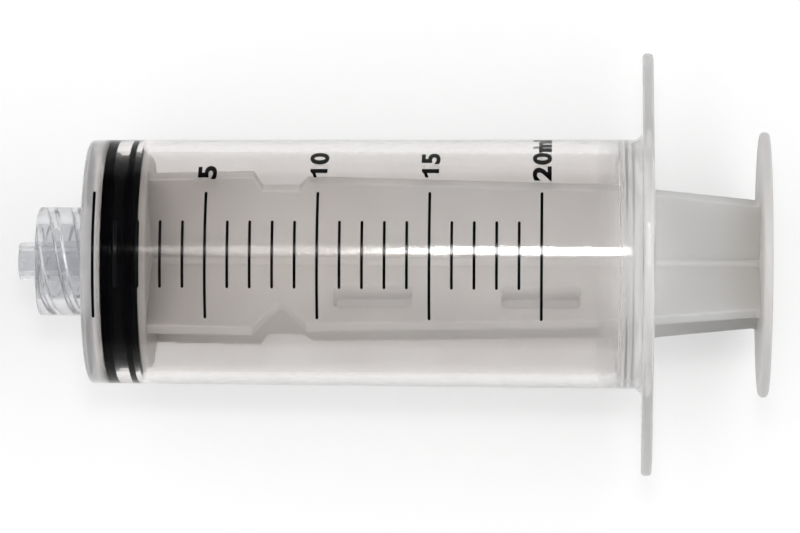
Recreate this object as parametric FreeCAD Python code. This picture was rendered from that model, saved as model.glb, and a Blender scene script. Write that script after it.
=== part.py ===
import FreeCAD, Part
import math
import os

# Luer lock syringe for 20 ml, with its rubber stopper near the front of its travel.
# Millimetres and degrees. The origin is the centre of the nozzle's end, +X runs along
# the axis towards the thumb rest, the flange's long way lies along Y and the scale
# faces +Z.

# Nozzle: a 6 % cone inside a threaded collar
tip_diameter = 4.0
cone_taper = 0.06
cone_length = 7.5
tip_projection = 2.1
passage_diameter = 2.1
collar_wall = 1.75
nozzle_bevel = 0.15

# Thread inside the collar: right-hand, ridges that point at the axis
thread_root_diameter = 8.0
thread_ridge_height = 0.45
thread_lead = 5.0
thread_starts = 2
ridge_root_width = 1.15
ridge_crest_width = 0.45
ridge_mouth_setback = 0.2
ridge_sink = 0.12

# Barrel: a tube whose outside tapers, closed in front by a flat wall with a dished inside
bore_diameter = 23.4
tube_wall_front = 1.2
tube_wall_back = 1.5
front_wall = 1.25
front_dish = 0.35
front_edge_bevel = 0.4
chamber_beyond_scale_length = 10.5

# Bead that keeps the stopper in, and the wider mouth behind it
bead_height = 0.25
bead_crest_width = 0.4
bead_side_width = 0.3
bead_to_mouth_length = 0.45
mouth_step = 0.25
mouth_step_length = 2.0

# Finger flange
flange_thickness = 1.2
flange_length = 44.8
flange_end_radius = 4.2
flange_flat_land = 0.3
flange_flat_depth = 0.4
flange_foot = 1.0
flange_bevel = 0.25

# Scale: one line for each millilitre, a long one for every fifth
scale_capacity_ml = 20
long_mark_step_ml = 5
zero_mark_gap = 0.12
mark_width = 0.3
ink_thickness = 0.05
long_mark_sweep = 61.0
short_mark_sweep = 31.4

# Rubber stopper
stopper_fill_gap = 0.6
stopper_clearance = 0.05
front_rib_width = 1.12
groove_width = 1.4
groove_side_width = 0.25
groove_depth = 0.35
back_rib_width = 0.74
skirt_length = 0.59
skirt_depth = 0.45
rubber_bevel = 0.12
socket_depth = 2.4
socket_diameter = 11.4
socket_lip_diameter = 8.4
socket_lip_length = 1.0

# Snap head of the plunger in the stopper's socket
head_radial_clearance = 0.05
head_axial_clearance = 0.05
head_lead_in = 0.7

# Plunger: front disc, four crossed ribs and thumb rest
disc_bead_clearance = 0.15
front_disc_thickness = 0.85
rib_count = 4
rib_thickness = 1.2
rib_core_diameter = 2.6
rib_turn = 42.0
rib_front_length = 11.05
rib_middle_drop = 0.6
rib_waist_drop = 1.5
rib_waist_from_thumb = 12.6
rib_back_drop = 3.1
rib_foot_radius = 0.6
recess_length = 5.6
shallow_recess_depth = 1.6
shallow_recess_side = 0.9
notch_depth = 4.3
notch_run = 2.8
window_margin = 3.2
window_height = 3.6
window_length = 8.2
window_pitch = 17.6
window_count = 2
window_start = 19.4
window_corner_radius = 0.6
thumb_gap_when_empty = 10.6
thumb_diameter = 28.0
thumb_thickness = 1.0
thumb_bevel = 0.25

# Radii that follow from the sizes above
bore_radius = bore_diameter / 2
barrel_front_radius = bore_radius + tube_wall_front
barrel_back_radius = bore_radius + tube_wall_back
bead_radius = bore_radius - bead_height
mouth_radius = bore_radius + mouth_step
passage_radius = passage_diameter / 2
thread_root_radius = thread_root_diameter / 2
thread_crest_radius = thread_root_radius - thread_ridge_height
collar_radius = thread_root_radius + collar_wall
stopper_radius = bore_radius - stopper_clearance
plunger_radius = bead_radius - disc_bead_clearance
mark_pitch = 1000.0 / (math.pi * bore_radius**2)

# Stations along the axis, from the nozzle's end to the thumb rest
bore_front_x = cone_length + front_wall
zero_mark_x = bore_front_x + zero_mark_gap
full_mark_x = zero_mark_x + scale_capacity_ml * mark_pitch
flange_front_x = full_mark_x + chamber_beyond_scale_length
flange_back_x = flange_front_x + flange_thickness
mouth_step_x = flange_back_x - mouth_step_length
bead_back_x = mouth_step_x - mouth_step - bead_to_mouth_length
bead_front_x = bead_back_x - bead_crest_width - 2 * bead_side_width
stopper_x = zero_mark_x + stopper_fill_gap
front_rib_back_x = stopper_x + front_rib_width
back_rib_front_x = front_rib_back_x + groove_width
back_rib_back_x = back_rib_front_x + back_rib_width
stopper_back_x = back_rib_back_x + skirt_length
socket_front_x = stopper_back_x - socket_depth
socket_lip_x = stopper_back_x - socket_lip_length
front_disc_x = stopper_back_x + head_axial_clearance
rib_front_x = front_disc_x + front_disc_thickness
thumb_x = flange_back_x + thumb_gap_when_empty + stopper_fill_gap
thumb_back_x = thumb_x + thumb_thickness

AXIS = FreeCAD.Vector(1, 0, 0)
ORIGIN = FreeCAD.Vector(0, 0, 0)
BEVEL = "bevel"
ROUND = "round"


def barrel_outer_radius(x):
    """Outer radius of the barrel's tapered wall at the station x."""
    share = (x - cone_length) / (flange_front_x - cone_length)
    return barrel_front_radius + share * (barrel_back_radius - barrel_front_radius)


def section_face(corners):
    """Face in the XY plane through corners (x, y), each eased if it ends in BEVEL or ROUND and a size."""
    points = [FreeCAD.Vector(corner[0], corner[1], 0) for corner in corners]
    stops = []
    eases = []
    for i, corner in enumerate(corners):
        ease, size = corner[2:] if len(corner) > 2 else (None, 0)
        back = (points[i - 1] - points[i]).normalize()
        ahead = (points[(i + 1) % len(points)] - points[i]).normalize()
        half_angle = back.getAngle(ahead) / 2
        setback = size / math.tan(half_angle) if ease == ROUND else size
        start = points[i] + back * setback
        end = points[i] + ahead * setback
        stops.append((start, end))
        if ease == ROUND:
            inward = (back + ahead).normalize()
            middle = points[i] + inward * (size / math.sin(half_angle) - size)
            eases.append(Part.Arc(start, middle, end).toShape())
        elif ease == BEVEL:
            eases.append(Part.LineSegment(start, end).toShape())
        else:
            eases.append(None)
    edges = []
    for i, ease in enumerate(eases):
        if ease is not None:
            edges.append(ease)
        end = stops[i][1]
        following = stops[(i + 1) % len(stops)][0]
        edges.append(Part.LineSegment(end, following).toShape())
    return Part.Face(Part.Wire(edges))


def turned(corners):
    """Solid of revolution about X from a section whose y is the radius."""
    return section_face(corners).revolve(ORIGIN, AXIS, 360)


def turned_barrel():
    """Nozzle, collar, front wall, tube, bead and mouth as one turned section."""
    cone_foot_radius = (tip_diameter + cone_taper * cone_length) / 2
    flange_root_radius = barrel_back_radius + flange_foot + flange_flat_land / 2
    section = [
        (0, passage_radius),
        (0, tip_diameter / 2, BEVEL, nozzle_bevel),
        (cone_length, cone_foot_radius),
        (cone_length, thread_root_radius),
        (tip_projection, thread_root_radius),
        (tip_projection, collar_radius, BEVEL, nozzle_bevel),
        (cone_length, collar_radius),
        (cone_length, barrel_front_radius, BEVEL, front_edge_bevel),
        (flange_front_x, barrel_back_radius, BEVEL, flange_foot),
        (flange_front_x, flange_root_radius),
        (flange_back_x, flange_root_radius),
        (flange_back_x, mouth_radius),
        (mouth_step_x, mouth_radius),
        (mouth_step_x - mouth_step, bore_radius),
        (bead_back_x, bore_radius),
        (bead_back_x - bead_side_width, bead_radius),
        (bead_front_x + bead_side_width, bead_radius),
        (bead_front_x, bore_radius),
        (bore_front_x, bore_radius),
        (bore_front_x - front_dish, passage_radius),
    ]
    return turned(section)


def cylinder(radius, start_x, length, y=0):
    """Solid cylinder along X from start_x, its axis moved by y."""
    return Part.makeCylinder(radius, length, FreeCAD.Vector(start_x, y, 0), AXIS)


def finger_flange():
    """Oval plate: a middle circle and two end circles joined by tangents, cut to two flats."""
    half_depth = barrel_back_radius + flange_foot + flange_flat_land
    middle_radius = half_depth + flange_flat_depth
    end_y = flange_length / 2 - flange_end_radius
    lean = math.asin((middle_radius - flange_end_radius) / end_y)
    touches = []
    for radius, centre_y in ((middle_radius, 0), (flange_end_radius, end_y)):
        touches.append((centre_y + radius * math.sin(lean), radius * math.cos(lean)))
    corners = touches + [(y, -z) for y, z in reversed(touches)]
    corners += [(-y, z) for y, z in reversed(corners)]
    points = [FreeCAD.Vector(flange_front_x, y, z) for y, z in corners]
    web = Part.Face(Part.makePolygon(points + points[:1])).extrude(AXIS * flange_thickness)
    plate = web.fuse(cylinder(middle_radius, flange_front_x, flange_thickness))
    for y in (end_y, -end_y):
        plate = plate.fuse(cylinder(flange_end_radius, flange_front_x, flange_thickness, y))
    low_corner = FreeCAD.Vector(flange_front_x, -flange_length / 2, -half_depth)
    flats = Part.makeBox(flange_thickness, flange_length, 2 * half_depth, low_corner)
    plate = plate.common(flats).removeSplitter()
    rims = [edge for edge in plate.Edges if edge.BoundBox.XLength < 1e-6]
    plate = plate.makeChamfer(flange_bevel, rims)
    return plate.cut(cylinder(mouth_radius, flange_front_x, flange_thickness))


def thread_ridge(turn):
    """One helical ridge of the collar's thread, started at the angle turn."""
    start_x = tip_projection + ridge_mouth_setback
    length = cone_length - start_x
    helix = Part.makeHelix(thread_lead, length + ridge_root_width, thread_root_radius)
    flank_spread = (ridge_root_width - ridge_crest_width) / 2 / thread_ridge_height
    sunk_radius = thread_root_radius + ridge_sink
    half_base = ridge_root_width / 2 + flank_spread * ridge_sink
    half_crest = ridge_crest_width / 2
    corners = [
        FreeCAD.Vector(sunk_radius, 0, -half_base),
        FreeCAD.Vector(sunk_radius, 0, half_base),
        FreeCAD.Vector(thread_crest_radius, 0, half_crest),
        FreeCAD.Vector(thread_crest_radius, 0, -half_crest),
    ]
    section = Part.makePolygon(corners + corners[:1])
    ridge = Part.Wire(helix.Edges).makePipeShell([section], True, True)
    ridge.rotate(ORIGIN, FreeCAD.Vector(0, 1, 0), 90)
    ridge.translate(AXIS * start_x)
    ridge.rotate(ORIGIN, AXIS, turn)
    return ridge.common(cylinder(sunk_radius + ridge_sink, start_x, length))


def make_barrel():
    """Barrel as one moulding: turned body, finger flange and collar thread."""
    ridges = [thread_ridge(360.0 * i / thread_starts) for i in range(thread_starts)]
    return turned_barrel().fuse([finger_flange()] + ridges).removeSplitter()


def scale_mark(volume_ml):
    """Ink line on the tapered wall at one volume, an arc centred on +Z."""
    sweep = short_mark_sweep
    if volume_ml % long_mark_step_ml == 0:
        sweep = long_mark_sweep
    front = zero_mark_x + volume_ml * mark_pitch - mark_width / 2
    back = front + mark_width
    corners = [
        (front, barrel_outer_radius(front)),
        (back, barrel_outer_radius(back)),
        (back, barrel_outer_radius(back) + ink_thickness),
        (front, barrel_outer_radius(front) + ink_thickness),
    ]
    section = section_face(corners)
    section.rotate(ORIGIN, AXIS, 90 - sweep / 2)
    return section.revolve(ORIGIN, AXIS, sweep)


def make_graduation_marks():
    """All lines of the scale, each a solid of its own."""
    return Part.makeCompound([scale_mark(ml) for ml in range(scale_capacity_ml + 1)])


def make_stopper():
    """Rubber stopper: coned face, two sealing ribs, skirt and socket for the snap head."""
    groove_radius = stopper_radius - groove_depth
    skirt_radius = stopper_radius - skirt_depth
    socket_radius = socket_diameter / 2
    lip_radius = socket_lip_diameter / 2
    section = [
        (stopper_x - front_dish, 0),
        (stopper_x - front_dish, passage_radius),
        (stopper_x, stopper_radius, BEVEL, rubber_bevel),
        (front_rib_back_x, stopper_radius),
        (front_rib_back_x + groove_side_width, groove_radius),
        (back_rib_front_x - groove_side_width, groove_radius),
        (back_rib_front_x, stopper_radius),
        (back_rib_back_x, stopper_radius),
        (back_rib_back_x, skirt_radius),
        (stopper_back_x, skirt_radius),
        (stopper_back_x, lip_radius),
        (socket_lip_x, lip_radius),
        (socket_lip_x, socket_radius),
        (socket_front_x, socket_radius),
        (socket_front_x, 0),
    ]
    return turned(section)


def turned_plunger():
    """Snap head with its neck, front disc, rib core and thumb rest."""
    neck_radius = socket_lip_diameter / 2 - head_radial_clearance
    head_radius = socket_diameter / 2 - head_radial_clearance
    head_front_x = socket_front_x + head_axial_clearance
    head_back_x = socket_lip_x - head_axial_clearance
    core_radius = rib_core_diameter / 2
    thumb_radius = thumb_diameter / 2
    section = [
        (head_front_x, 0),
        (head_front_x, head_radius, BEVEL, head_lead_in),
        (head_back_x, head_radius),
        (head_back_x, neck_radius),
        (front_disc_x, neck_radius),
        (front_disc_x, plunger_radius),
        (rib_front_x, plunger_radius),
        (rib_front_x, core_radius),
        (thumb_x, core_radius),
        (thumb_x, thumb_radius, BEVEL, thumb_bevel),
        (thumb_back_x, thumb_radius, BEVEL, thumb_bevel),
        (thumb_back_x, 0),
    ]
    return turned(section)


def rib_outline(notched):
    """Outline of a rib, with a V notch or a shallow recess in its edge behind the front stretch."""
    recess_x = rib_front_x + rib_front_length
    recess_back_x = recess_x + recess_length
    back_reach = plunger_radius - rib_back_drop
    seat_x = thumb_x + thumb_thickness / 2
    corners = [(rib_front_x, 0), (rib_front_x, plunger_radius), (recess_x, plunger_radius)]
    if notched:
        corners.append((recess_x + notch_run, plunger_radius - notch_depth))
    else:
        floor_reach = plunger_radius - shallow_recess_depth
        corners.append((recess_x + shallow_recess_side, floor_reach))
        corners.append((recess_back_x - shallow_recess_side, floor_reach))
    corners += [
        (recess_back_x, plunger_radius - rib_middle_drop),
        (thumb_x - rib_waist_from_thumb, plunger_radius - rib_waist_drop),
        (thumb_x, back_reach, ROUND, rib_foot_radius),
        (thumb_x, back_reach + 2 * rib_foot_radius),
        (seat_x, back_reach + 2 * rib_foot_radius),
        (seat_x, 0),
    ]
    return corners


def window_outline(start_x):
    """Rounded window that lightens a rib, from the station start_x."""
    outer = plunger_radius - window_margin
    inner = outer - window_height
    ends = (start_x, start_x + window_length)
    corners = [(ends[0], inner), (ends[1], inner), (ends[1], outer), (ends[0], outer)]
    return [(x, y, ROUND, window_corner_radius) for x, y in corners]


def rib(turn, notched, windowed):
    """One rib of the plunger's cross, standing off the axis at the angle turn from +Y."""
    plate = section_face(rib_outline(notched))
    if windowed:
        for i in range(window_count):
            start_x = rib_front_x + window_start + i * window_pitch
            plate = plate.cut(section_face(window_outline(start_x)))
    plate.translate(FreeCAD.Vector(0, 0, -rib_thickness / 2))
    solid = plate.extrude(FreeCAD.Vector(0, 0, rib_thickness))
    solid.rotate(ORIGIN, AXIS, turn)
    return solid


def make_plunger():
    """Plunger as one moulding: turned parts and four ribs, two of them with windows."""
    ribs = []
    for i in range(rib_count):
        turn = rib_turn + 360.0 * i / rib_count
        ribs.append(rib(turn, notched=i in (1, 3), windowed=i in (1, 2)))
    return turned_plunger().fuse(ribs).removeSplitter()


os.makedirs("parts", exist_ok=True)
makers = {
    "barrel": make_barrel,
    "graduation_marks": make_graduation_marks,
    "stopper": make_stopper,
    "plunger": make_plunger,
}
for name, make in makers.items():
    shape = make()
    print(name, len(shape.Solids), "solids", round(shape.Volume, 1), "mm3", shape.isValid())
    shape.exportStep(os.path.join("parts", name + ".step"))
print("overall length", round(thumb_back_x, 2), "mm, mark pitch", round(mark_pitch, 3), "mm")
print("travel to the bead", round(bead_front_x - back_rib_back_x, 2), "mm")
print("travel to the front", round(-(stopper_x - bore_front_x), 2), "mm")
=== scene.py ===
# %% [markdown]
# A luer lock syringe lies on a pale table. This lesson dresses its measured frame: first the
# frame is loaded, then each moulded piece is worked out as a smooth surface, then each finish
# is mixed, and last come the floor, the light and the camera. Lengths are written in
# millimetres, as on a maker's drawing, and turned to metres when a mesh is made.

# %% Load the frame
import math
import bmesh
import bpy
import numpy as np
from mathutils import Matrix, Vector


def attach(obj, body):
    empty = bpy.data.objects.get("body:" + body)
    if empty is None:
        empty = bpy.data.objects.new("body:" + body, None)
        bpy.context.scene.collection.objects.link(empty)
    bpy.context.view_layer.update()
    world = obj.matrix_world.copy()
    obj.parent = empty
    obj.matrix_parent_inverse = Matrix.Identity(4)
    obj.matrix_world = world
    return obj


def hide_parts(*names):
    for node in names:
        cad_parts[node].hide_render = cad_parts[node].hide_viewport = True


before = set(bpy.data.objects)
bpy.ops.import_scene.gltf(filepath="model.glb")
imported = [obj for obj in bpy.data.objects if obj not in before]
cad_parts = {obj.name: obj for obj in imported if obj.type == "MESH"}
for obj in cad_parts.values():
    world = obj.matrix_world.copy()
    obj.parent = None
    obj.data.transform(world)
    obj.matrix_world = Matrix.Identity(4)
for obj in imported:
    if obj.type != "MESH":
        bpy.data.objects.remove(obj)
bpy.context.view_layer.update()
MM = 0.001

# %% [markdown]
# The nozzle's end is at the origin and +X runs along the axis to the thumb rest. The sizes
# below are the ones that the solids have. Radii are half diameters, and a station is a place
# along X. One value is written once, and what follows from it is worked out.

# %% Sizes of the barrel
passage_radius = 1.05
tip_radius = 2.0
cone_foot_radius = 2.225
cone_length = 7.5
tip_projection = 2.1
thread_root_radius = 4.0
thread_height = 0.45
thread_lead = 5.0
thread_starts = 2
ridge_root_width = 1.15
ridge_crest_width = 0.45
ridge_start = 2.3
collar_radius = 5.75
bore_front = 8.75
front_dish = 0.35
bore_radius = 11.7
outer_radius_front = 12.9
outer_radius_back = 13.2
flange_front = 65.876
flange_back = 67.076
bead_radius = 11.45
bead_front = 63.376
bead_back = 64.376
mouth_radius = 11.95
mouth_step = 65.076
zero_mark = 8.87
mark_pitch = 2.32535
mark_width = 0.3
full_mark = zero_mark + 20 * mark_pitch
print("scale from", zero_mark, "to", round(full_mark, 2), "mm")


def outer_radius(x):
    """Radius of the barrel's tapered outside: front radius plus the share of the way back times the gain."""
    share = (x - cone_length) / (flange_front - cone_length)
    return outer_radius_front + share * (outer_radius_back - outer_radius_front)


# %% [markdown]
# Nearly every piece of a syringe is turned, so its form is one profile carried round the axis.
# A real moulding has no knife edges: each corner of the profile gets a small arc. The helper
# takes corners with their arc radius, and divides each straight into steps, so that the
# surface has points where it has to bend.

# %% Profiles with eased corners
def eased_path(corners, arc_steps=5):
    """Closed path through corners (x, y, arc radius, steps of the straight behind it).

    With unit directions back and ahead, and half the angle between them, the arc starts radius
    over tan(half angle) before the corner. Its centre lies radius over sin(half angle) from
    the corner along the bisector, and its points are a spherical blend of start and end.
    """
    points = np.array([corner[:2] for corner in corners], float)
    radii = np.array([corner[2] for corner in corners], float)
    back = np.roll(points, 1, 0) - points
    ahead = np.roll(points, -1, 0) - points
    back /= np.linalg.norm(back, axis=1)[:, None]
    ahead /= np.linalg.norm(ahead, axis=1)[:, None]
    half = np.arccos(np.clip((back * ahead).sum(1), -1, 1)) / 2
    starts = points + back * (radii / np.tan(half))[:, None]
    ends = points + ahead * (radii / np.tan(half))[:, None]
    path = []
    for i in range(len(corners)):
        arc = points[i : i + 1]
        if radii[i] > 0:
            bisector = (back[i] + ahead[i]) / np.linalg.norm(back[i] + ahead[i])
            centre = points[i] + bisector * radii[i] / math.sin(half[i])
            turn = math.pi - 2 * half[i]
            t = np.linspace(0, turn, arc_steps + 1)[:, None]
            arc = (starts[i] - centre) * np.sin(turn - t) + (ends[i] - centre) * np.sin(t)
            arc = centre + arc / math.sin(turn)
        share = np.arange(1, corners[i][3])[:, None] / corners[i][3]
        straight = arc[-1] + (starts[(i + 1) % len(corners)] - arc[-1]) * share
        path += [arc, straight]
    return np.vstack(path)


# %% [markdown]
# A surface is a table of points with rows and columns. Neighbours in the table make the quads,
# and a table that closes on itself in both directions is a ring without seam or pole. The
# enclosed volume, summed over the faces, tells whether the faces point outwards: if it comes
# out negative, every face is turned round.

# %% Tables of points to meshes
def quads_of_table(rows, columns, close_rows, close_columns):
    """Corner numbers of each quad: the point, the next in its row, that one's next row, and back."""
    r = np.arange(rows if close_rows else rows - 1)[:, None]
    c = np.arange(columns if close_columns else columns - 1)[None, :]
    r_next, c_next = (r + 1) % rows, (c + 1) % columns
    quads = [r * columns + c, r * columns + c_next, r_next * columns + c_next, r_next * columns + c]
    return np.stack(quads, axis=-1).reshape(-1, 4)


def enclosed_volume(points, faces):
    """Sum over the faces of a corner dotted with the cross of the two edges that fan out, over six."""
    first = points[[face[0] for face in faces]]
    total = 0.0
    most = max(len(face) for face in faces)
    for k in range(1, most - 1):
        fan = [face for face in faces if len(face) > k + 1]
        a = first[[i for i, face in enumerate(faces) if len(face) > k + 1]]
        b = points[[face[k] for face in fan]]
        c = points[[face[k + 1] for face in fan]]
        total += (a * np.cross(b, c)).sum() / 6
    return total


def solid_object(name, points, faces, smooth_angle=None):
    """Object in metres from points in mm, its faces turned outwards, smooth but for sharp folds."""
    faces = [tuple(int(i) for i in face) for face in faces]
    volume = enclosed_volume(points, faces)
    if volume < 0:
        faces = [face[::-1] for face in faces]
    mesh = bpy.data.meshes.new(name)
    mesh.from_pydata((points * MM).tolist(), [], faces)
    mesh.validate()
    mesh.shade_smooth()
    if smooth_angle is not None:
        mesh.set_sharp_from_angle(angle=math.radians(smooth_angle))
    made = bpy.data.objects.new(name, mesh)
    bpy.context.scene.collection.objects.link(made)
    print(name, len(faces), "faces,", round(abs(volume), 1), "mm3")
    return made


def turned_points(path, columns):
    """Table of points: each profile point (x, r) at each angle a gives x, r cos a, r sin a."""
    angle = np.arange(columns) * 2 * np.pi / columns
    x = np.repeat(path[:, :1], columns, axis=1)
    y = path[:, 1:2] * np.cos(angle)
    z = path[:, 1:2] * np.sin(angle)
    return np.stack([x, y, z], axis=-1)


# %% [markdown]
# The flange is the oval plate on which two fingers rest. It could be drawn as an outline and
# joined to the tube, but the tube is see-through, and a join would show as a line inside the
# plastic. So the flange stays part of the turned surface: its points are pushed out, at each
# angle, to the reach of the oval outline there. This cell works out that reach.

# %% Outline of the finger flange
flange_middle_radius = 14.9
flange_end_radius = 4.2
flange_end_centre = 18.2
flange_half_depth = 14.5


def flange_reach(angle):
    """Distance from the axis to the flange's edge at each angle from +Y.

    Near Y it is the end circle, then the tangent that joins it to the middle circle, then the
    middle circle, and never more than the flat allows: half depth over sin(angle).
    """
    side = np.abs(np.sin(angle))
    along = np.abs(np.cos(angle))
    lean = math.asin((flange_middle_radius - flange_end_radius) / flange_end_centre)
    middle_touch = math.pi / 2 - lean
    end_touch = math.atan2(
        flange_end_radius * math.cos(lean), flange_end_centre + flange_end_radius * math.sin(lean)
    )
    folded = np.arctan2(side, along)
    inside = np.maximum(flange_end_radius**2 - (flange_end_centre * side) ** 2, 0)
    end_circle = flange_end_centre * along + np.sqrt(inside)
    tangent = flange_middle_radius / (along * math.sin(lean) + side * math.cos(lean))
    reach = np.where(folded < end_touch, end_circle, tangent)
    reach = np.where(folded > middle_touch, flange_middle_radius, reach)
    return np.minimum(reach, flange_half_depth / np.maximum(side, 1e-6))


quarter = np.radians([0, 30, 60, 90])
print("flange reach at 0, 30, 60 and 90 degrees:", np.round(flange_reach(quarter), 2))

# %% [markdown]
# The collar's thread is two ridges that climb 5 mm in one turn. On a surface that is a table of
# angle and station, a ridge needs no mesh of its own: each point of the collar's inner wall
# sinks towards the axis by a height that depends on how far it lies, along X, from the nearest
# ridge's middle. The ridges rise and end within a short way at both ends of the collar.

# %% Thread of the collar
ridge_fade = 0.35
collar_band = 0.3


def thread_rise(x, angle):
    """Height of the thread at station x and angle from +Y, in mm.

    The ridge's middle runs ahead by the lead for each turn, and the ridges lie lead over starts
    apart. The height falls from crest to root over the flank, eased by 3 t squared less 2 t cubed.
    """
    pitch = thread_lead / thread_starts
    middle = ridge_start + thread_lead * (angle + math.pi / 2) / (2 * math.pi)
    away = np.abs((x - middle + pitch / 2) % pitch - pitch / 2)
    flank = (ridge_root_width - ridge_crest_width) / 2
    t = np.clip((ridge_root_width / 2 - away) / flank, 0, 1)
    ends = np.clip((x - ridge_start) / ridge_fade, 0, 1) * np.clip((cone_length - x) / ridge_fade, 0, 1)
    return thread_height * t**2 * (3 - 2 * t) * ends


# %% [markdown]
# The barrel is one moulding: nozzle, threaded collar, front wall, tube and finger flange. It
# could be joined from turned parts by Booleans, but each join leaves long thin faces, and clear
# plastic shows every one of them. One closed profile carried round gives even quads instead.
# The thread and the flange are then a change of radius at the points that belong to them.

# %% The barrel
barrel_columns = 288
flange_root = 14.35
flange_edge_nominal = 20.0
flange_edge_ease = 0.45
barrel_corners = [
    (0, passage_radius, 0.12, 8),
    (0, tip_radius, 0.25, 16),
    (cone_length, cone_foot_radius, 0.25, 3),
    (cone_length, thread_root_radius, 0.25, 72),
    (tip_projection, thread_root_radius, 0.15, 2),
    (tip_projection, collar_radius, 0.3, 10),
    (cone_length, collar_radius, 0.3, 8),
    (cone_length, outer_radius_front, 0.55, 44),
    (flange_front, outer_radius_back, 0.95, 4),
    (flange_front, flange_edge_nominal, flange_edge_ease, 1),
    (flange_back, flange_edge_nominal, flange_edge_ease, 8),
    (flange_back, mouth_radius, 0.2, 3),
    (mouth_step, mouth_radius, 0.15, 1),
    (mouth_step - 0.25, bore_radius, 0.2, 1),
    (bead_back, bore_radius, 0.12, 2),
    (bead_back - 0.3, bead_radius, 0.25, 1),
    (bead_front + 0.3, bead_radius, 0.25, 2),
    (bead_front, bore_radius, 0.12, 44),
    (bore_front, bore_radius, 0.3, 8),
    (bore_front - front_dish, passage_radius, 0.15, 8),
]
barrel_path = eased_path(barrel_corners)
barrel_points = turned_points(barrel_path, barrel_columns)
barrel_angles = np.arange(barrel_columns) * 2 * np.pi / barrel_columns
path_radius = barrel_path[:, 1:2]

edge_inset = np.clip(flange_edge_nominal - path_radius, 0, flange_edge_ease)
face_share = (path_radius - flange_root) / (flange_edge_nominal - flange_edge_ease - flange_root)
face_share = np.clip(face_share, 0, 1)
edge_radius = flange_reach(barrel_angles)[None, :] - edge_inset
face_radius = flange_root + face_share * (edge_radius - flange_root)
on_flange = path_radius > flange_root
radius = np.where(on_flange, face_radius, path_radius)

in_collar = np.abs(path_radius - thread_root_radius) < collar_band
in_collar &= barrel_path[:, :1] > tip_projection
in_collar &= barrel_path[:, :1] < cone_length
rise = thread_rise(barrel_path[:, :1], barrel_angles[None, :])
radius = np.where(in_collar, radius - rise, radius)
barrel_points[..., 1] = radius * np.cos(barrel_angles)
barrel_points[..., 2] = radius * np.sin(barrel_angles)
barrel_faces = quads_of_table(len(barrel_path), barrel_columns, True, True)
barrel = solid_object("barrel_moulding", barrel_points.reshape(-1, 3), barrel_faces)
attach(barrel, "barrel")
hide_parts("barrel")

# %% [markdown]
# The stopper is black rubber, pressed into the bore. Its two ribs are a hair wider than the
# bore here, because real rubber touches the wall. That hair matters to the eye: light inside
# the clear wall meets rubber there instead of air, and the bands look black right out to the
# barrel's edge.

# %% The stopper
stopper_front = 9.47
rubber_squeeze = 0.012
rib_radius = bore_radius + rubber_squeeze
groove_radius = 11.3
skirt_radius = 11.2
stopper_corners = [
    (stopper_front - front_dish, 0.02, 0, 8),
    (stopper_front, rib_radius, 0.16, 3),
    (10.59, rib_radius, 0.1, 1),
    (10.84, groove_radius, 0.12, 3),
    (11.74, groove_radius, 0.12, 1),
    (11.99, rib_radius, 0.1, 3),
    (12.73, rib_radius, 0.14, 1),
    (12.73, skirt_radius, 0.12, 2),
    (13.32, skirt_radius, 0.12, 6),
    (13.32, 4.2, 0.12, 2),
    (12.32, 4.2, 0.1, 1),
    (12.32, 5.7, 0.1, 2),
    (10.92, 5.7, 0.2, 4),
    (10.92, 0.02, 0, 1),
]
rubber_columns = 192
stopper_path = eased_path(stopper_corners)
stopper_points = turned_points(stopper_path, rubber_columns).reshape(-1, 3)
stopper_faces = quads_of_table(len(stopper_path), rubber_columns, True, True)
stopper = solid_object("rubber_stopper", stopper_points, stopper_faces)
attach(stopper, "stopper")
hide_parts("stopper")

# %% [markdown]
# The plunger is a milky moulding: a snap head that sits in the stopper, a neck, a front disc,
# four crossed ribs and a thumb rest. This cell turns the round parts in one go, with a thin
# core between disc and thumb rest, to which the ribs are joined next.

# %% The plunger's turned part
plunger_radius = 11.3
front_disc = 13.37
ribs_front = 14.22
thumb_front = 78.276
thumb_back = 79.2755
thumb_radius = 14.0
core_radius = 1.3
plunger_corners = [
    (10.97, 0.02, 0, 2),
    (10.97, 5.65, 0.5, 2),
    (12.27, 5.65, 0.1, 2),
    (12.27, 4.15, 0.15, 2),
    (front_disc, 4.15, 0.15, 6),
    (front_disc, plunger_radius, 0.25, 1),
    (ribs_front, plunger_radius, 0.25, 6),
    (ribs_front, core_radius, 0.3, 20),
    (thumb_front, core_radius, 0.4, 10),
    (thumb_front, thumb_radius, 0.4, 1),
    (thumb_back, thumb_radius, 0.4, 14),
    (thumb_back, 0.02, 0, 1),
]
plunger_columns = 192
plunger_path = eased_path(plunger_corners)
plunger_points = turned_points(plunger_path, plunger_columns).reshape(-1, 3)
plunger_faces = quads_of_table(len(plunger_path), plunger_columns, True, True)
plunger = solid_object("plunger_moulding", plunger_points, plunger_faces)


# %% [markdown]
# A rib is a flat plate that gets lower towards the thumb rest. Two ribs have a deep V in their
# edge, the other two a shallow step, and two have windows that save plastic. A thickened plane
# would have sharp edges, so a plate is made of rings: its outline carried through the
# thickness, and pulled in a little near both faces. The windows are cut out of the plates, and
# the plates are joined to the turned part, so that the plunger ends up as one skin.

# %% The ribs and their windows
rib_thickness = 1.2
rib_turn = 42.0
rib_edge_ease = 0.18
recess = ribs_front + 11.05
recess_back = recess + 5.6
middle_drop = 0.6
shallow_drop = 1.6
shallow_run = 0.9
notch_drop = 4.3
notch_run = 2.8
waist = thumb_front - 12.6
waist_drop = 1.5
back_reach = plunger_radius - 3.1
foot_rise = 0.9
in_disc = 0.4
in_thumb_rest = 0.5
near_axis = 0.3
window_starts = (19.4, 37.0)
window_length = 8.2
window_height = 3.6
window_round = 0.6
window_drop = 6.8


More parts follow.
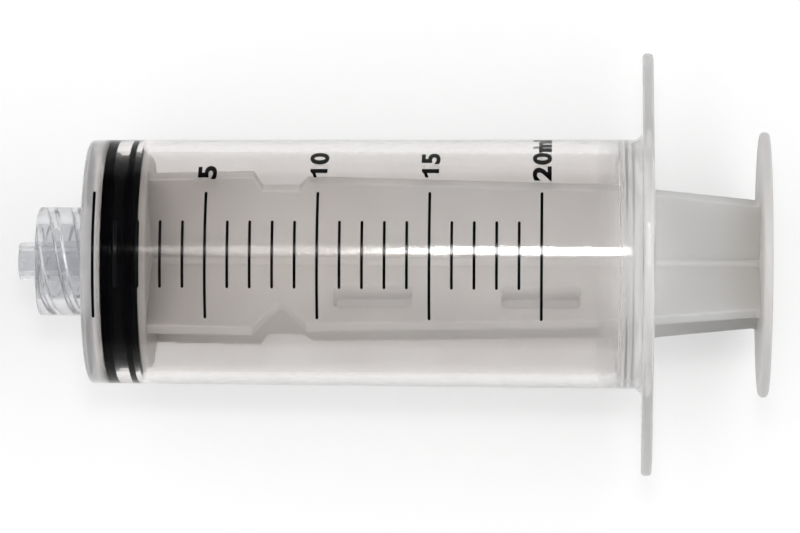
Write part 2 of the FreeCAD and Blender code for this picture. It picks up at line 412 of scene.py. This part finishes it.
def plate_points(outline, thickness, ease, ease_steps=3):
    """Rings of a plate with round edges, from its lower to its upper face.

    A ring at the angle t of the rounding lies half the thickness less ease times (1 - sin t) from
    the middle, and is pulled in by ease times (1 - cos t). Pulling in moves a point along the sum
    of its two edge normals, over one plus their dot product.
    """
    ahead = np.roll(outline, -1, 0) - outline
    ahead /= np.linalg.norm(ahead, axis=1)[:, None]
    normal = np.stack([-ahead[:, 1], ahead[:, 0]], axis=1)
    before = np.roll(normal, 1, 0)
    mitre = (normal + before) / (1 + (normal * before).sum(1))[:, None]
    t = np.linspace(0, np.pi / 2, ease_steps + 1)
    height = thickness / 2 - ease * (1 - np.sin(t))
    inset = ease * (1 - np.cos(t))
    height = np.concatenate([-height[::-1], height])
    inset = np.concatenate([inset[::-1], inset])
    flat = outline[None, :, :] + mitre[None, :, :] * inset[:, None, None]
    return np.dstack([flat, np.broadcast_to(height[:, None], flat.shape[:2])])


def plate_object(name, outline, thickness, ease, turn):
    """Plate in the plane of X and the reach, turned about X by an angle from +Y."""
    rings = plate_points(outline, thickness, ease)
    count = len(outline)
    faces = quads_of_table(len(rings), count, False, True).tolist()
    faces.append(list(range(count))[::-1])
    faces.append([(len(rings) - 1) * count + i for i in range(count)])
    x, reach, across = rings.reshape(-1, 3).T
    c, s = math.cos(math.radians(turn)), math.sin(math.radians(turn))
    points = np.stack([x, reach * c - across * s, reach * s + across * c], axis=1)
    return solid_object(name, points, faces)


def rib_outline(notched):
    """Outline of a rib from the axis outwards, with a deep V or a shallow step in its edge."""
    corners = [
        (ribs_front - in_disc, near_axis, 0, 1),
        (thumb_front + in_thumb_rest, near_axis, 0, 1),
        (thumb_front + in_thumb_rest, back_reach + foot_rise, 0, 1),
        (thumb_front, back_reach + foot_rise, 0, 1),
        (thumb_front - 0.02, back_reach, 0.6, 6),
        (waist, plunger_radius - waist_drop, 3.0, 10),
        (recess_back, plunger_radius - middle_drop, 0.2, 1),
    ]
    if notched:
        corners.append((recess + notch_run, plunger_radius - notch_drop, 0.4, 1))
    else:
        corners.append((recess_back - shallow_run, plunger_radius - shallow_drop, 0.2, 1))
        corners.append((recess + shallow_run, plunger_radius - shallow_drop, 0.2, 1))
    corners.append((recess, plunger_radius - 0.02, 0.2, 6))
    corners.append((ribs_front - in_disc, plunger_radius - 0.3, 0, 4))
    return eased_path(corners)


def join_or_cut(target, tool, operation):
    """Joins tool to target, or cuts it out, and takes the result as target's own mesh."""
    step = target.modifiers.new("boolean", "BOOLEAN")
    step.operation = operation
    step.solver = "EXACT"
    step.object = tool
    graph = bpy.context.evaluated_depsgraph_get()
    result = bpy.data.meshes.new_from_object(target.evaluated_get(graph))
    target.modifiers.clear()
    target.data = result
    bpy.data.objects.remove(tool)


window_corners = [(0, 0), (window_length, 0), (window_length, window_height), (0, window_height)]
window_outline = eased_path([(*corner, window_round, 1) for corner in window_corners])
for i in range(4):
    rib_angle = rib_turn + 90 * i
    rib = plate_object("rib", rib_outline(i in (1, 3)), rib_thickness, rib_edge_ease, rib_angle)
    if i in (1, 2):
        for start in window_starts:
            moved = window_outline + (ribs_front + start, plunger_radius - window_drop)
            cutter = plate_object("window", moved, 3 * rib_thickness, 0, rib_angle)
            join_or_cut(rib, cutter, "DIFFERENCE")
    join_or_cut(plunger, rib, "UNION")
plunger.data.shade_smooth()
plunger.data.set_sharp_from_angle(angle=math.radians(35))
weighted = plunger.modifiers.new("weighted_normals", "WEIGHTED_NORMAL")
weighted.keep_sharp = True
weighted.weight = 100
print("plunger after joining:", len(plunger.data.polygons), "faces")
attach(plunger, "plunger")
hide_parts("plunger")

# %% [markdown]
# The scale is printed on the tapered outside of the tube: a thin, slightly raised film of ink.
# A line is a flat bar bent round the tube. All the lines are one table of points with a line,
# a place along it and a place round its section, so they are worked out together.

# %% The scale's lines
ink_lift = 0.004
ink_height = 0.04
line_steps = 40
long_sweep = 61.0
short_sweep = 31.4
mean_radius = 13.1
volumes = np.arange(21)
sweeps = np.radians(np.where(volumes % 5 == 0, long_sweep, short_sweep))
line_x = zero_mark + volumes * mark_pitch


def on_barrel(x, angle, height):
    """Point over the tube's outside: station x, angle from +Z towards +Y, height above the wall."""
    r = outer_radius(x) + height
    return np.stack([x, r * np.sin(angle), r * np.cos(angle)], axis=-1)


section_across = np.array([-1, -1, -0.8, 0.8, 1, 1])
section_height = np.array([0, 0.6, 1, 1, 0.6, 0])
along = -np.cos(np.linspace(0, np.pi, line_steps))
angle = along[None, :] * sweeps[:, None] / 2
end_distance = (1 - np.abs(along[None, :])) * sweeps[:, None] / 2 * mean_radius
half_width = mark_width / 2
rounding = np.clip(end_distance / half_width, 0.02, 1)
line_half_width = half_width * np.sqrt(1 - (1 - rounding) ** 2)
shape = (len(volumes), line_steps, len(section_across))
x = line_x[:, None, None] + line_half_width[:, :, None] * section_across
height = np.broadcast_to(ink_lift + (ink_height - ink_lift) * section_height, shape)
line_points = on_barrel(x, np.broadcast_to(angle[:, :, None], shape), height)
one_line = quads_of_table(line_steps, len(section_across), False, True).tolist()
one_line.append(list(range(len(section_across)))[::-1])
one_line.append([(line_steps - 1) * len(section_across) + i for i in range(len(section_across))])
per_line = line_steps * len(section_across)
line_faces = [[k * per_line + i for i in face] for k in range(len(volumes)) for face in one_line]
scale_lines = solid_object("scale_lines", line_points.reshape(-1, 3), line_faces, 20)
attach(scale_lines, "barrel")
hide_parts("graduation_marks")

# %% [markdown]
# The numbers stand beside the long lines, turned so that they read up the tube. They could be
# wrapped with a Shrinkwrap modifier, but then their sides would lean. Instead each sign starts
# as a flat text, made a mesh, sliced into narrow strips so that it can bend, and then laid on
# the tube: across the sign becomes the angle, and up the sign becomes -X. The font's digit 1
# is a bare stroke, so a 1 with a flag has an outline of its own.

# %% The scale's numbers
number_height = 2.0
number_width = 9.7
number_shift = 0.02
strips = 12
number_places = [
    ("5", 5, 42.4),
    ("1", 10, 41.9),
    ("0", 10, 52.9),
    ("1", 15, 41.9),
    ("5", 15, 52.7),
    ("2", 20, 41.8),
    ("0", 20, 52.8),
    ("m", 20, 66.5),
    ("l", 20, 76.3),
]
one_outline = [
    (0.2, 0), (0.34, 0), (0.34, 0.69), (0.24, 0.69), (0.17, 0.6), (0.05, 0.55), (0.05, 0.42), (0.2, 0.48)
]


def outline_mesh(outline):
    """Plate of thickness 1 about the level 0, from an outline that runs round to the left."""
    count = len(outline)
    points = [(x, y, level) for level in (-0.5, 0.5) for x, y in outline]
    faces = quads_of_table(2, count, False, True).tolist()
    faces += [list(range(count))[::-1], list(range(count, 2 * count))]
    mesh = bpy.data.meshes.new("sign")
    mesh.from_pydata(points, [], faces)
    return mesh


def text_mesh(sign):
    """Plate of thickness 1 about the level 0, in the form of one letter or digit."""
    text = bpy.data.curves.new("sign", "FONT")
    text.body = sign
    text.offset = 0.036
    text.extrude = 0.5
    text.resolution_u = 6
    holder = bpy.data.objects.new("sign", text)
    bpy.context.scene.collection.objects.link(holder)
    bpy.context.view_layer.update()
    graph = bpy.context.evaluated_depsgraph_get()
    mesh = bpy.data.meshes.new_from_object(holder.evaluated_get(graph))
    bpy.data.objects.remove(holder)
    return mesh


def sign_mesh(sign):
    """Solid sign about its own middle: across and up in font units, thickness from 0 to 1."""
    work = bmesh.new()
    work.from_mesh(outline_mesh(one_outline) if sign == "1" else text_mesh(sign))
    bmesh.ops.remove_doubles(work, verts=work.verts, dist=1e-5)
    low = min(v.co.x for v in work.verts)
    high = max(v.co.x for v in work.verts)
    for k in range(1, strips):
        cut = Vector((low + (high - low) * k / strips, 0, 0))
        everything = work.verts[:] + work.edges[:] + work.faces[:]
        bmesh.ops.bisect_plane(work, geom=everything, plane_co=cut, plane_no=(1, 0, 0))
    points = np.array([v.co[:] for v in work.verts])
    faces = [[v.index for v in face.verts] for face in work.faces]
    work.free()
    points[:, 0] -= (low + high) / 2
    points[:, 2] += 0.5
    print("sign", sign, "is", round(high - low, 3), "wide")
    return points, faces


digit_points = sign_mesh("0")[0]
digit_low, digit_high = digit_points[:, 1].min(), digit_points[:, 1].max()
digit_width = np.ptp(digit_points[:, 0])
number_points, number_faces = [], []
for sign, volume, middle_angle in number_places:
    points, faces = sign_mesh(sign)
    up = (points[:, 1] - digit_low) / (digit_high - digit_low) - 0.5
    x = zero_mark + volume * mark_pitch + number_shift - up * number_height
    angle = np.radians(middle_angle + number_width / digit_width * points[:, 0])
    height = ink_lift + (ink_height - ink_lift) * points[:, 2]
    first = sum(len(p) for p in number_points)
    number_points.append(on_barrel(x, angle, height))
    number_faces += [[first + i for i in face] for face in faces]
scale_numbers = solid_object("scale_numbers", np.vstack(number_points), number_faces, 40)
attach(scale_numbers, "barrel")

# %% [markdown]
# Four finishes are mixed. Each is one shader with its even values set on the shader itself, and
# small helpers bring in what varies: a noise texture that reads the object's own coordinates,
# stretched by a Mapping node, and a ramp that follows the station along the axis.

# %% Helpers for finishes
def new_finish(name):
    """Material with an empty node tree but for its output and one Principled shader."""
    material = bpy.data.materials.new(name)
    material.use_nodes = True
    tree = material.node_tree
    tree.nodes.clear()
    output = tree.nodes.new("ShaderNodeOutputMaterial")
    shader = tree.nodes.new("ShaderNodeBsdfPrincipled")
    tree.links.new(shader.outputs["BSDF"], output.inputs["Surface"])
    return material, tree, shader


def noise(tree, stretch, scale, detail=3.0):
    """Noise on object coordinates, in metres, with the axes stretched by three factors."""
    place = tree.nodes.new("ShaderNodeTexCoord")
    mapping = tree.nodes.new("ShaderNodeMapping")
    mapping.inputs["Scale"].default_value = stretch
    texture = tree.nodes.new("ShaderNodeTexNoise")
    texture.inputs["Scale"].default_value = scale
    texture.inputs["Detail"].default_value = detail
    tree.links.new(place.outputs["Object"], mapping.inputs["Vector"])
    tree.links.new(mapping.outputs["Vector"], texture.inputs["Vector"])
    return texture.outputs["Fac"]


def spread(tree, value, low, high):
    """A value from 0 to 1 spread between low and high, taken from the noise's middle stretch."""
    node = tree.nodes.new("ShaderNodeMapRange")
    node.inputs["From Min"].default_value = 0.3
    node.inputs["From Max"].default_value = 0.7
    node.inputs["To Min"].default_value = low
    node.inputs["To Max"].default_value = high
    tree.links.new(value, node.inputs["Value"])
    return node.outputs["Result"]


def blend_colours(tree, value, dark, light):
    """Colour between dark and light, each fixed or a socket, by a value from 0 to 1."""
    node = tree.nodes.new("ShaderNodeMix")
    node.data_type = "RGBA"
    for name, colour in (("A", dark), ("B", light)):
        socket = [s for s in node.inputs if s.name == name and s.type == "RGBA"][0]
        if isinstance(colour, tuple):
            socket.default_value = (*colour, 1)
        else:
            tree.links.new(colour, socket)
    factor = [s for s in node.inputs if s.name == "Factor" and s.type == "VALUE"][0]
    tree.links.new(value, factor)
    return [s for s in node.outputs if s.type == "RGBA"][0]


def by_station(tree, stops):
    """Value that runs straight between stops (station in mm, value) along the part's X."""
    place = tree.nodes.new("ShaderNodeTexCoord")
    apart = tree.nodes.new("ShaderNodeSeparateXYZ")
    share = tree.nodes.new("ShaderNodeMapRange")
    ramp = tree.nodes.new("ShaderNodeValToRGB")
    share.inputs["From Max"].default_value = thumb_back * MM
    tree.links.new(place.outputs["Object"], apart.inputs["Vector"])
    tree.links.new(apart.outputs["X"], share.inputs["Value"])
    tree.links.new(share.outputs["Result"], ramp.inputs["Fac"])
    points = ramp.color_ramp.elements
    while len(points) < len(stops):
        points.new(1.0)
    for i, (station, value) in enumerate(stops):
        points[i].position = station / thumb_back
        points[i].color = (value, value, value, 1)
    return ramp.outputs["Color"]


def maths(tree, operation, first, second):
    """Result of one sum on two values, each a number or a socket."""
    node = tree.nodes.new("ShaderNodeMath")
    node.operation = operation
    for socket, value in zip(node.inputs, (first, second)):
        if isinstance(value, (int, float)):
            socket.default_value = value
        else:
            tree.links.new(value, socket)
    return node.outputs["Value"]


def bump(tree, normal_socket, layers):
    """Chained bumps, each from a noise value with its depth in metres."""
    normal = None
    for value, depth in layers:
        node = tree.nodes.new("ShaderNodeBump")
        node.inputs["Strength"].default_value = 1.0
        node.inputs["Distance"].default_value = depth
        tree.links.new(value, node.inputs["Height"])
        if normal is not None:
            tree.links.new(normal, node.inputs["Normal"])
        normal = node.outputs["Normal"]
    tree.links.new(normal, normal_socket)


# %% [markdown]
# The barrel is natural polypropylene: clear in a thin wall, a little grey and cloudy where it
# is thick, glossy outside. Light goes in and out through it, so most of the shader is
# transmission, and the rest is the cloud that scatters light in the nozzle, the front wall and
# the flange. Where the oiled rubber wets the wall, no air lies between them and hardly any
# light turns back, so the bending of light is nearly let go in that stretch. The stretch stays
# with the tube, so it is right only at rest: with the plunger drawn out, its back end shows as
# a thin dark ring. A thin coat carries the long highlight, and slow waves and fine streaks in
# the surface break it up.

# %% Clear plastic of the barrel
clear_plastic, tree, shader = new_finish("clear_plastic")
cloud = noise(tree, (1, 1, 1), 160, 4)
warm = blend_colours(tree, spread(tree, cloud, 0, 1), (0.83, 0.805, 0.79), (0.87, 0.85, 0.838))
warmth = by_station(tree, [(0, 0), (6.5, 0), (9.0, 1)])
cool_to_warm = blend_colours(tree, warmth, (0.84, 0.847, 0.866), warm)
at_flange = by_station(tree, [(0, 0), (62.0, 0), (66.0, 1)])
tinted = blend_colours(tree, at_flange, cool_to_warm, (0.985, 0.98, 0.975))
tree.links.new(tinted, shader.inputs["Base Color"])
wetted = by_station(tree, [(0, 0.49), (9.0, 0.49), (9.5, 0.1), (13.3, 0.1), (13.9, 0.49)])
tree.links.new(maths(tree, "ADD", wetted, 1.0), shader.inputs["IOR"])
nozzle_stops = [(0, 0.85), (2.0, 0.93), (6.8, 0.9), (7.6, 0.62), (9.1, 0.6), (9.6, 1.0)]
clearness = by_station(tree, nozzle_stops + [(61.0, 1.0), (63.2, 0.8), (65.8, 0.5)])
tree.links.new(clearness, shader.inputs["Transmission Weight"])
tree.links.new(spread(tree, noise(tree, (1, 1, 1), 300, 3), 0.03, 0.07), shader.inputs["Roughness"])
waves = noise(tree, (1, 1, 1), 500, 2)
streaks = noise(tree, (2.2, 1.5, 1.5), 900, 4)
bump(tree, shader.inputs["Normal"], [(waves, 0.000006), (streaks, 0.000008)])
coat = by_station(tree, [(0, 0.2), (9.0, 0.2), (9.5, 0.04), (13.3, 0.04), (14.0, 0.2), (79.2, 0.2)])
tree.links.new(coat, shader.inputs["Coat Weight"])
shader.inputs["Coat Roughness"].default_value = 0.11
shader.inputs["Coat IOR"].default_value = 1.49
bump(tree, shader.inputs["Coat Normal"], [(streaks, 0.000035)])
barrel.data.materials.append(clear_plastic)

# %% [markdown]
# The plunger is the same kind of plastic in a milkier grade with a satin face. Light enters and
# comes out scattered, so the thin ribs glow a little from behind. Subsurface scattering over
# 1.5 mm does this, where plain white would look like paper. Painted shade darkens the colour by
# station near the black rubber, where less light comes through, and the colour is also darker on the thumb
# rest.

# %% Milky plastic of the plunger
milky_plastic, tree, shader = new_finish("milky_plastic")
shader.inputs["IOR"].default_value = 1.49
shader.inputs["Transmission Weight"].default_value = 0.15
shader.inputs["Subsurface Weight"].default_value = 1.0
shader.inputs["Subsurface Radius"].default_value = (1.0, 1.0, 1.0)
shader.inputs["Subsurface Scale"].default_value = 0.0015
cloud = noise(tree, (0.6, 1, 1), 120, 4)
milky = blend_colours(tree, spread(tree, cloud, 0, 1), (0.955, 0.935, 0.915), (0.99, 0.975, 0.96))
# Painted shade: the colour darkens near the black rubber, where less light reaches the plastic, and is also
# darker on the thumb rest.
painted_shade_stops = [(13.3, 0), (14.3, 0.25), (17.0, 0.62), (26.0, 0.85), (50.0, 1)]
painted_shade_by_station = by_station(tree, painted_shade_stops + [(74.0, 1), (78.2, 0.66)])
tree.links.new(blend_colours(tree, painted_shade_by_station, (0.42, 0.4, 0.38), milky), shader.inputs["Base Color"])
tree.links.new(spread(tree, noise(tree, (1, 1, 1), 250, 3), 0.32, 0.42), shader.inputs["Roughness"])
bump(tree, shader.inputs["Normal"], [(noise(tree, (1, 1, 1), 900, 2), 0.000004)])
plunger.data.materials.clear()
plunger.data.materials.append(milky_plastic)

# %% [markdown]
# The rubber is black, and the wall that it wets takes its gloss away, so hardly any light comes
# back from it. Its roughness varies a little, as the oil lies unevenly.

# %% Black rubber of the stopper
black_rubber, tree, shader = new_finish("black_rubber")
shader.inputs["IOR"].default_value = 1.5
shader.inputs["Specular IOR Level"].default_value = 0.01
oil = spread(tree, noise(tree, (1, 1, 1), 500, 3), 0, 1)
black = blend_colours(tree, oil, (0.0008, 0.0008, 0.0012), (0.002, 0.002, 0.003))
tree.links.new(black, shader.inputs["Base Color"])
tree.links.new(spread(tree, noise(tree, (1, 1, 1), 800, 2), 0.18, 0.26), shader.inputs["Roughness"])
bump(tree, shader.inputs["Normal"], [(noise(tree, (1, 1, 1), 1800, 2), 0.000008)])
stopper.data.materials.append(black_rubber)

# %% [markdown]
# Printing ink is a thin black film with a gloss of its own, so the highlight on the tube runs on
# across the lines. The signs get a duller film, because with the same gloss they look grey.
# Small differences in the film make both a little uneven. A texture image could stand for
# print, but a raised film catches the light at its rim as real ink does.

# %% Printed ink
def ink_finish(name, gloss):
    """Black ink, uneven in tone and smoothness, that mirrors by the given gloss."""
    material, tree, shader = new_finish(name)
    film = spread(tree, noise(tree, (1, 1, 1), 2500, 3), 0, 1)
    black = blend_colours(tree, film, (0.0008, 0.0008, 0.001), (0.003, 0.003, 0.004))
    tree.links.new(black, shader.inputs["Base Color"])
    shader.inputs["Specular IOR Level"].default_value = gloss
    smoothness = noise(tree, (1, 1, 1), 3000, 2)
    tree.links.new(spread(tree, smoothness, 0.06, 0.13), shader.inputs["Roughness"])
    bump(tree, shader.inputs["Normal"], [(noise(tree, (1, 1, 1), 4000, 2), 0.000004)])
    return material


scale_lines.data.materials.append(ink_finish("line_ink", 0.45))
scale_numbers.data.materials.append(ink_finish("number_ink", 0.08))

# %% [markdown]
# The syringe lies on the flat of its flange and on its front rim. The flange is the wider, so
# the axis leans by about a degree and a half against the table. The part stays level in its own
# frame, so it is the table that leans: it goes through both resting lines.

# %% The floor
floor_gap = 0.05
rim_inset = 0.3
rim_gain = 0.02
rest_back = Vector((flange_front * MM, 0, -flange_half_depth * MM))
rest_front = Vector(((cone_length + rim_inset) * MM, 0, -(outer_radius_front + rim_gain) * MM))
lean = math.atan2(rest_front.z - rest_back.z, rest_back.x - rest_front.x)
print("table leans by", round(math.degrees(lean), 2), "degrees")
half_floor = 4.0
floor_mesh = bpy.data.meshes.new("floor")
floor_points = [
    (x, y, rest_back.z - floor_gap * MM - (x - rest_back.x) * math.tan(lean))
    for x, y in np.array([(-1, -1), (1, -1), (1, 1), (-1, 1)]) * half_floor
]
floor_mesh.from_pydata(floor_points, [], [(0, 1, 2, 3)])
floor = bpy.data.objects.new("floor", floor_mesh)
bpy.context.scene.collection.objects.link(floor)

# %% [markdown]
# The floor is a plain pale sheet. It is lit like everything else, and gets a little light of its
# own for the rays that look at it: from the camera, off a glossy face or through clear plastic.
# So it comes out white without brighter lamps, and still darkens where the syringe keeps the
# light away.

# %% Finish of the floor
floor_colour = 0.62
floor_own_light = 0.48
pale_floor = bpy.data.materials.new("pale_floor")
pale_floor.use_nodes = True
tree = pale_floor.node_tree
tree.nodes.clear()
output = tree.nodes.new("ShaderNodeOutputMaterial")
diffuse = tree.nodes.new("ShaderNodeBsdfDiffuse")
diffuse.inputs["Color"].default_value = (floor_colour, floor_colour, floor_colour, 1)
own = tree.nodes.new("ShaderNodeEmission")
path = tree.nodes.new("ShaderNodeLightPath").outputs
seen = maths(tree, "MAXIMUM", path["Is Glossy Ray"], path["Is Transmission Ray"])
seen = maths(tree, "MAXIMUM", path["Is Camera Ray"], seen)
tree.links.new(maths(tree, "MULTIPLY", seen, floor_own_light), own.inputs["Strength"])
both = tree.nodes.new("ShaderNodeAddShader")
tree.links.new(diffuse.outputs["BSDF"], both.inputs[0])
tree.links.new(own.outputs["Emission"], both.inputs[1])
tree.links.new(both.outputs["Shader"], output.inputs["Surface"])
floor_mesh.materials.append(pale_floor)

# %% [markdown]
# The room is white near the level for the same rays, which is the way a side view looks through
# the tube, and dark overhead, so that little of it is mirrored in the tube. Rays that leave the
# clear plastic find a nearly white room overhead too. This is the light that a clear tube lets
# in to the plunger, and a lamp's light alone gets through the two faces of the wall too weakly.

# %% The room
room_level = 0.02
overhead_level = 0.95
world = bpy.data.worlds.new("studio")
world.use_nodes = True
bpy.context.scene.world = world
tree = world.node_tree
tree.nodes.clear()
output = tree.nodes.new("ShaderNodeOutputWorld")
background = tree.nodes.new("ShaderNodeBackground")
direction = tree.nodes.new("ShaderNodeTexCoord")
apart = tree.nodes.new("ShaderNodeSeparateXYZ")
tree.links.new(direction.outputs["Generated"], apart.inputs["Vector"])
near_level = tree.nodes.new("ShaderNodeMapRange")
near_level.inputs["From Min"].default_value = 0.1
near_level.inputs["From Max"].default_value = 0.0
tree.links.new(apart.outputs["Z"], near_level.inputs["Value"])
path = tree.nodes.new("ShaderNodeLightPath").outputs
mirrored = maths(tree, "MULTIPLY", path["Is Glossy Ray"], near_level.outputs["Result"])
inward = maths(tree, "MAXIMUM", near_level.outputs["Result"], overhead_level)
through = maths(tree, "MULTIPLY", path["Is Transmission Ray"], inward)
seen = maths(tree, "MAXIMUM", mirrored, through)
seen = maths(tree, "MAXIMUM", path["Is Camera Ray"], seen)
tree.links.new(maths(tree, "MAXIMUM", seen, room_level), background.inputs["Strength"])
tree.links.new(background.outputs["Background"], output.inputs["Surface"])

# %% [markdown]
# Two large soft boxes stand to the left and right, so low that the tube doesn't mirror them, and
# light the plastic evenly. A small lamp near the camera draws the long highlight along the
# tube, and a fainter one beside it lets the highlight run out towards the nozzle. Each lamp is
# given by its place and by the radiance of its face, from which its power is worked out.

# %% Lamps
def soft_lamp(name, place, aim, wide, high, radiance):
    """Area lamp at one point, aimed at another. Its power is radiance times pi times its area."""
    lamp = bpy.data.lights.new(name, "AREA")
    lamp.shape = "RECTANGLE"
    lamp.size = wide * MM
    lamp.size_y = high * MM
    lamp.energy = radiance * math.pi * lamp.size * lamp.size_y
    holder = bpy.data.objects.new(name, lamp)
    place, aim = Vector(place) * MM, Vector(aim) * MM
    holder.location = place
    holder.rotation_mode = "QUATERNION"
    holder.rotation_quaternion = (aim - place).to_track_quat("-Z", "Y")
    bpy.context.scene.collection.objects.link(holder)
    print(name, "power", round(lamp.energy, 3), "W")


middle = (40, 0, 0)
soft_lamp("highlight_lamp", (57, 72, 531), middle, 70, 62, 26)
soft_lamp("faint_highlight_lamp", (-8, 72, 531), middle, 60, 62, 2.2)
soft_lamp("left_softbox", (-480, 0, 520), middle, 1600, 860, 1.22)
soft_lamp("right_softbox", (560, 0, 520), middle, 1600, 860, 1.37)

# %% [markdown]
# The camera stands 536 mm from the axis, 3.7 degrees towards -Y, and looks a little to the left
# of the point below it. A lens of 228 mm then shows 85 mm across the picture's 800 pixels.

# %% Camera
camera_distance = 536.5
camera_tilt = math.radians(3.7)
camera_foot = 57.2
look_at = Vector((40.35, -0.37, 0)) * MM
eye = Vector((0, -math.sin(camera_tilt), math.cos(camera_tilt))) * camera_distance
eye = (eye + Vector((camera_foot, 0, 0))) * MM
camera_data = bpy.data.cameras.new("camera")
camera_data.lens = 228.1
camera_data.sensor_width = 36
camera_data.clip_start = 0.01
camera_data.clip_end = 10
camera = bpy.data.objects.new("camera", camera_data)
toward = (look_at - eye).normalized()
right = Vector((1, 0, 0))
right = (right - toward * right.dot(toward)).normalized()
up = right.cross(toward)
roll = math.radians(0.3)
rolled_right = right * math.cos(roll) + up * math.sin(roll)
rolled_up = rolled_right.cross(toward)
turned = Matrix((rolled_right, rolled_up, -toward)).transposed().to_4x4()
camera.matrix_world = Matrix.Translation(eye) @ turned
bpy.context.scene.collection.objects.link(camera)
bpy.context.scene.camera = camera
bpy.context.scene.view_settings.view_transform = "Standard"
